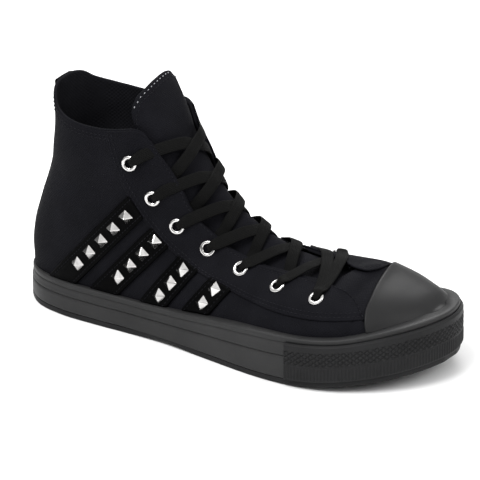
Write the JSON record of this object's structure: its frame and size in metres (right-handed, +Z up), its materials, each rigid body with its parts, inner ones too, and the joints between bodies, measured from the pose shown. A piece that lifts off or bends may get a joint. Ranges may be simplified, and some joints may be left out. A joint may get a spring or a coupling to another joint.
{
  "type": "high top sneaker",
  "caption": "Lace-up canvas high top sneaker for the right foot, with a rubber toe cap and side wall, slanting satin straps and pyramid studs.",
  "frame": {"origin": "on the floor, under the middle of the shoe's box", "axes": "+X towards the toe, +Y towards the inner (medial) side, +Z up"},
  "size_m": [0.2724, 0.106, 0.139],
  "materials": {
    "canvas": "woven cotton canvas, matt",
    "rubber": "smooth and textured vulcanised rubber",
    "cap_rubber": "smooth satin rubber",
    "satin": "satin ribbon with a soft sheen",
    "lining": "matt lining",
    "lace": "flat woven lace",
    "metal": "polished nickel"
  },
  "bodies": {
    "root": {"eyelet_lateral_1": "metal", "eyelet_lateral_2": "metal", "eyelet_lateral_3": "metal", "eyelet_lateral_4": "metal", "eyelet_lateral_5": "metal", "eyelet_lateral_6": "metal", "eyelet_lateral_7": "metal", "eyelet_medial_1": "metal", "eyelet_medial_2": "metal", "eyelet_medial_3": "metal", "eyelet_medial_4": "metal", "eyelet_medial_5": "metal", "eyelet_medial_6": "metal", "eyelet_medial_7": "metal", "eyestay_lateral": "canvas", "eyestay_medial": "canvas", "foxing": "rubber", "heel_strip": "satin", "heel_stud_1": "metal", "heel_stud_2": "metal", "heel_stud_3": "metal", "heel_stud_4": "metal", "insole": "lining", "lace_row_1": "lace", "lace_row_2": "lace", "lace_row_3": "lace", "lace_row_4": "lace", "lace_row_5": "lace", "lace_row_6": "lace", "outsole": "rubber", "strap_1": "satin", "strap_2": "satin", "strap_3": "satin", "strap_4": "satin", "stud_1_1": "metal", "stud_1_2": "metal", "stud_1_3": "metal", "stud_1_4": "metal", "stud_1_5": "metal", "stud_2_1": "metal", "stud_2_2": "metal", "stud_2_3": "metal", "stud_2_4": "metal", "stud_3_1": "metal", "stud_3_2": "metal", "stud_3_3": "metal", "stud_4_1": "metal", "stud_4_2": "metal", "toe_bumper": "rubber", "toe_cap": "cap_rubber", "tongue": "canvas", "upper": "canvas"}
  },
  "joints": []
}
